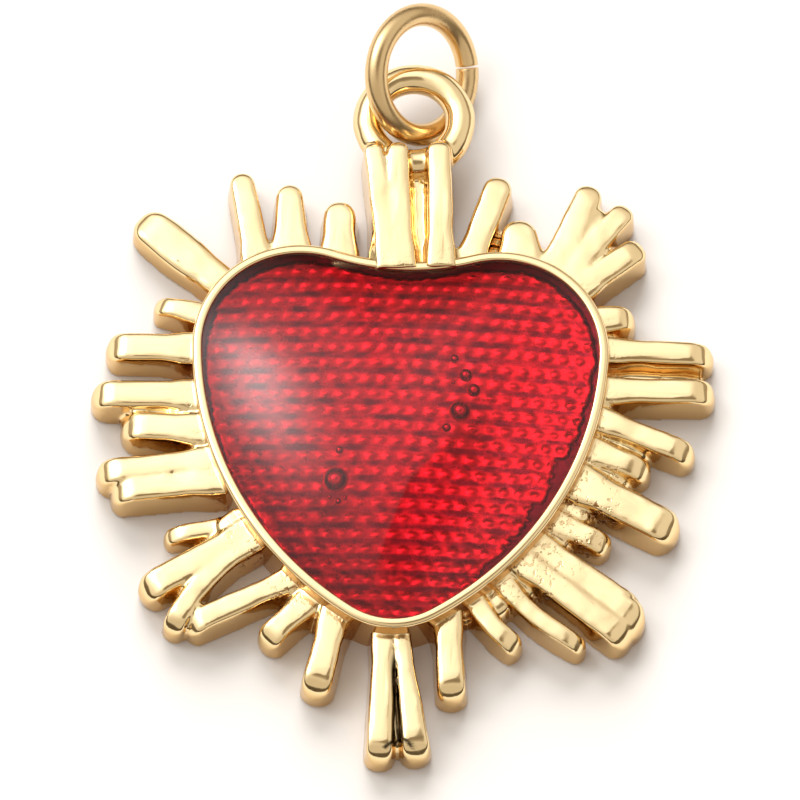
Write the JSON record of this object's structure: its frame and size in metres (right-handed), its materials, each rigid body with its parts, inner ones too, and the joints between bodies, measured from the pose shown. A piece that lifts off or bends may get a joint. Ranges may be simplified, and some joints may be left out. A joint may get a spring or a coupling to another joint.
{
  "type": "enamel heart pendant",
  "caption": "Cast sunburst pendant with a rimmed heart of domed transparent red enamel, a cast hanging loop and a split jump ring.",
  "frame": {"origin": "middle of the heart, on the flat back", "axes": "+Z out of the enamelled face, +Y towards the hanging loop, +X to the right of the face"},
  "size_m": [0.0217, 0.0278, 0.0038],
  "materials": {
    "casting": "polished, gold-plated",
    "enamel": "transparent red, domed and glossy",
    "jump_ring": "polished, gold-plated wire"
  },
  "bodies": {
    "pendant": {"casting": "casting", "enamel": "enamel"},
    "ring": {"jump_ring": "jump_ring"}
  },
  "joints": [
    {"name": "ring_swing", "type": "hinge", "parent": "pendant", "child": "ring", "pos_m": [0, 0.0117, 0.0015], "axis": [0, 1, 0], "range_deg": [0, 90]}
  ]
}
